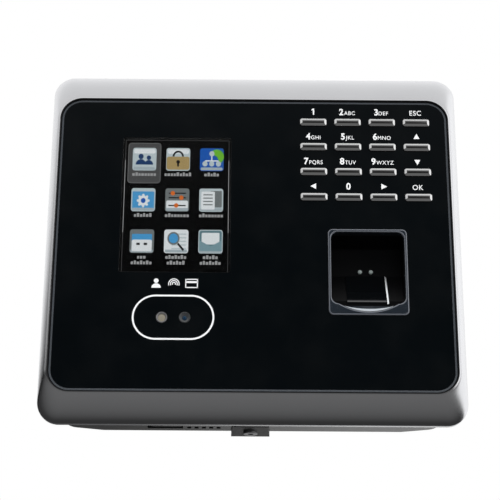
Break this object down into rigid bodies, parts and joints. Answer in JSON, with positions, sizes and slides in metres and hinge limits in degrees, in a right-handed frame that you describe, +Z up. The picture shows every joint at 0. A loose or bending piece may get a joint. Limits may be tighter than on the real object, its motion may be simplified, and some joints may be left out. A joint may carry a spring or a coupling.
{
  "type": "fingerprint scanner terminal",
  "caption": "Wall-hung fingerprint access terminal: colour screen, number keypad, camera pair and finger reader in a black panel with a flared silver frame.",
  "frame": {"origin": "centre of the four wall-screw holes, on the wall face of the wall plate", "axes": "+X to the viewer's right, +Z up, -Y out of the front panel towards the viewer"},
  "size_m": [0.1676, 0.0322, 0.1488],
  "materials": {
    "silver_paint": "satin silver paint on moulded ABS",
    "panel_acrylic": "polished black acrylic with white print",
    "tape_foam": "double-sided foam tape",
    "window_acrylic": "clear polished acrylic",
    "display_glass": "glass and metal display sandwich",
    "ribbon_film": "amber polyimide ribbon",
    "key_metal": "bright brushed bars with bevelled edges",
    "silicone": "grey silicone",
    "board_green": "green solder mask",
    "guide_plastic": "glossy blue-black plastic",
    "housing_plastic": "fine matt black plastic",
    "platen_glass": "polished optical glass",
    "lamp_epoxy": "clear epoxy lamps",
    "camera_lens": "coated lens in a grey barrel",
    "lamp_lens": "clear lens in a dark barrel",
    "tin_steel": "tinned sheet steel",
    "socket_nylon": "cream nylon",
    "screw_steel": "plated steel",
    "connector_plastic": "black nylon",
    "block_plastic": "green nylon",
    "battery_film": "blue shrink film",
    "plunger_nylon": "white nylon",
    "reset_red": "red nylon",
    "seal_rubber": "black rubber",
    "case_plastic": "charcoal ABS with a fine spark texture",
    "plate_paint": "black powder-coated steel"
  },
  "bodies": {
    "terminal": {"front_frame": "silver_paint", "front_panel": "panel_acrylic", "panel_tape": "tape_foam", "display_window": "window_acrylic", "display_module": "display_glass", "display_ribbon": "ribbon_film", "keypad_mat": "silicone", "keypad_board": "board_green", "keypad_ribbon": "ribbon_film", "finger_guide": "guide_plastic", "finger_housing": "housing_plastic", "finger_platen": "platen_glass", "finger_prism": "platen_glass", "finger_imager": "housing_plastic", "finger_board": "board_green", "finger_lamps": "lamp_epoxy", "camera_lens": "camera_lens", "lamp_lens": "lamp_lens", "camera_board": "board_green", "inner_chassis": "housing_plastic", "main_board": "board_green", "processor_shield": "tin_steel", "board_sockets": "socket_nylon", "board_screws": "screw_steel", "lan_socket": "tin_steel", "power_jack": "connector_plastic", "wiring_block": "block_plastic", "wiring_screws": "screw_steel", "usb_socket": "tin_steel", "speaker": "housing_plastic", "backup_battery": "battery_film", "tamper_switch": "connector_plastic", "reset_switch": "connector_plastic", "case_seal": "seal_rubber", "rear_case": "case_plastic", "case_screws": "screw_steel", "wall_plate": "plate_paint", "lock_screw": "screw_steel"},
    "key_1": {"key_1": "key_metal"},
    "key_2": {"key_2": "key_metal"},
    "key_3": {"key_3": "key_metal"},
    "key_escape": {"key_escape": "key_metal"},
    "key_4": {"key_4": "key_metal"},
    "key_5": {"key_5": "key_metal"},
    "key_6": {"key_6": "key_metal"},
    "key_up": {"key_up": "key_metal"},
    "key_7": {"key_7": "key_metal"},
    "key_8": {"key_8": "key_metal"},
    "key_9": {"key_9": "key_metal"},
    "key_down": {"key_down": "key_metal"},
    "key_left": {"key_left": "key_metal"},
    "key_0": {"key_0": "key_metal"},
    "key_right": {"key_right": "key_metal"},
    "key_enter": {"key_enter": "key_metal"},
    "tamper_plunger": {"tamper_plunger": "plunger_nylon"},
    "reset_button": {"reset_button": "reset_red"}
  },
  "joints": [
    {"name": "key_1_press", "type": "slide", "parent": "terminal", "child": "key_1", "axis": [0, 1, 0], "range_m": [0, 0.0007], "stiffness_N_per_m": 1200, "springref_m": -0.0005},
    {"name": "key_2_press", "type": "slide", "parent": "terminal", "child": "key_2", "axis": [0, 1, 0], "range_m": [0, 0.0007], "stiffness_N_per_m": 1200, "springref_m": -0.0005},
    {"name": "key_3_press", "type": "slide", "parent": "terminal", "child": "key_3", "axis": [0, 1, 0], "range_m": [0, 0.0007], "stiffness_N_per_m": 1200, "springref_m": -0.0005},
    {"name": "key_escape_press", "type": "slide", "parent": "terminal", "child": "key_escape", "axis": [0, 1, 0], "range_m": [0, 0.0007], "stiffness_N_per_m": 1200, "springref_m": -0.0005},
    {"name": "key_4_press", "type": "slide", "parent": "terminal", "child": "key_4", "axis": [0, 1, 0], "range_m": [0, 0.0007], "stiffness_N_per_m": 1200, "springref_m": -0.0005},
    {"name": "key_5_press", "type": "slide", "parent": "terminal", "child": "key_5", "axis": [0, 1, 0], "range_m": [0, 0.0007], "stiffness_N_per_m": 1200, "springref_m": -0.0005},
    {"name": "key_6_press", "type": "slide", "parent": "terminal", "child": "key_6", "axis": [0, 1, 0], "range_m": [0, 0.0007], "stiffness_N_per_m": 1200, "springref_m": -0.0005},
    {"name": "key_up_press", "type": "slide", "parent": "terminal", "child": "key_up", "axis": [0, 1, 0], "range_m": [0, 0.0007], "stiffness_N_per_m": 1200, "springref_m": -0.0005},
    {"name": "key_7_press", "type": "slide", "parent": "terminal", "child": "key_7", "axis": [0, 1, 0], "range_m": [0, 0.0007], "stiffness_N_per_m": 1200, "springref_m": -0.0005},
    {"name": "key_8_press", "type": "slide", "parent": "terminal", "child": "key_8", "axis": [0, 1, 0], "range_m": [0, 0.0007], "stiffness_N_per_m": 1200, "springref_m": -0.0005},
    {"name": "key_9_press", "type": "slide", "parent": "terminal", "child": "key_9", "axis": [0, 1, 0], "range_m": [0, 0.0007], "stiffness_N_per_m": 1200, "springref_m": -0.0005},
    {"name": "key_down_press", "type": "slide", "parent": "terminal", "child": "key_down", "axis": [0, 1, 0], "range_m": [0, 0.0007], "stiffness_N_per_m": 1200, "springref_m": -0.0005},
    {"name": "key_left_press", "type": "slide", "parent": "terminal", "child": "key_left", "axis": [0, 1, 0], "range_m": [0, 0.0007], "stiffness_N_per_m": 1200, "springref_m": -0.0005},
    {"name": "key_0_press", "type": "slide", "parent": "terminal", "child": "key_0", "axis": [0, 1, 0], "range_m": [0, 0.0007], "stiffness_N_per_m": 1200, "springref_m": -0.0005},
    {"name": "key_right_press", "type": "slide", "parent": "terminal", "child": "key_right", "axis": [0, 1, 0], "range_m": [0, 0.0007], "stiffness_N_per_m": 1200, "springref_m": -0.0005},
    {"name": "key_enter_press", "type": "slide", "parent": "terminal", "child": "key_enter", "axis": [0, 1, 0], "range_m": [0, 0.0007], "stiffness_N_per_m": 1200, "springref_m": -0.0005},
    {"name": "tamper_plunger_press", "type": "slide", "parent": "terminal", "child": "tamper_plunger", "axis": [0, -1, 0], "range_m": [0, 0.0008], "stiffness_N_per_m": 600, "springref_m": -0.0006},
    {"name": "reset_button_press", "type": "slide", "parent": "terminal", "child": "reset_button", "axis": [0, -1, 0], "range_m": [0, 0.0008], "stiffness_N_per_m": 900, "springref_m": -0.0005}
  ]
}
